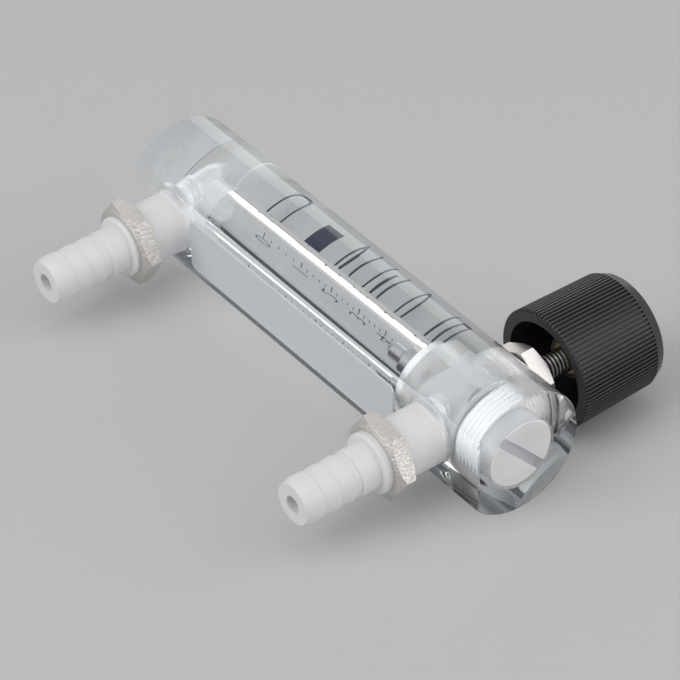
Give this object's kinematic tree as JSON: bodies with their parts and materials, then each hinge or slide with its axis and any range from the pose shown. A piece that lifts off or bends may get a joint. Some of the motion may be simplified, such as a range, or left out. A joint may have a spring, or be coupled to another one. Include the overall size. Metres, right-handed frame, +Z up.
{
  "type": "panel flow meter",
  "caption": "Clear block flow meter with a float in a tapered bore, barbed hose fittings with panel nuts at the back and a needle valve knob at the top of its front.",
  "frame": {"origin": "middle of the block's flat lower end, on the axis of the metering bore", "axes": "+Z up along the metering bore, -Y towards the valve knob at the front, +Y towards the hose fittings at the back, X across the width"},
  "size_m": [0.0254, 0.0762, 0.1016],
  "materials": {
    "clear_acrylic": "polished clear acrylic",
    "white_nylon": "satin white nylon",
    "plated_metal": "satin nickel plate",
    "stainless": "turned stainless steel",
    "brass": "plain brass",
    "black_plastic": "semi-gloss black plastic",
    "rubber_seal": "black rubber",
    "white_strip": "matt white plastic",
    "soft_white": "waxy white plastic"
  },
  "bodies": {
    "block": {"body_block": "clear_acrylic", "float_stop": "soft_white", "end_plug": "white_nylon", "plug_o_ring": "rubber_seal", "inlet_fitting": "white_nylon", "outlet_fitting": "white_nylon", "inlet_o_ring": "rubber_seal", "outlet_o_ring": "rubber_seal", "inlet_panel_nut": "plated_metal", "outlet_panel_nut": "plated_metal", "valve_gland": "plated_metal", "gland_o_ring": "rubber_seal", "valve_seat": "soft_white", "backing_strip": "white_strip"},
    "float": {"float": "stainless"},
    "stem_seal": {"stem_o_ring": "rubber_seal"},
    "valve": {"valve_stem": "stainless", "knob": "black_plastic", "knob_insert": "brass"}
  },
  "joints": [
    {"name": "float_rise", "type": "slide", "parent": "block", "child": "float", "axis": [0, 0, 1], "range_m": [-0.055, 0]},
    {"name": "valve_travel", "type": "slide", "parent": "block", "child": "stem_seal", "axis": [0, -1, 0], "range_m": [-0.0024, 0.0016]},
    {"name": "knob_turn", "type": "hinge", "parent": "stem_seal", "child": "valve", "pos_m": [0, 0, 0.0867], "axis": [0, -1, 0], "range_deg": [-1081, 721]}
  ],
  "couplings": [
    {"joint": "knob_turn", "follows": "valve_travel", "rad_per_m": 7854}
  ]
}
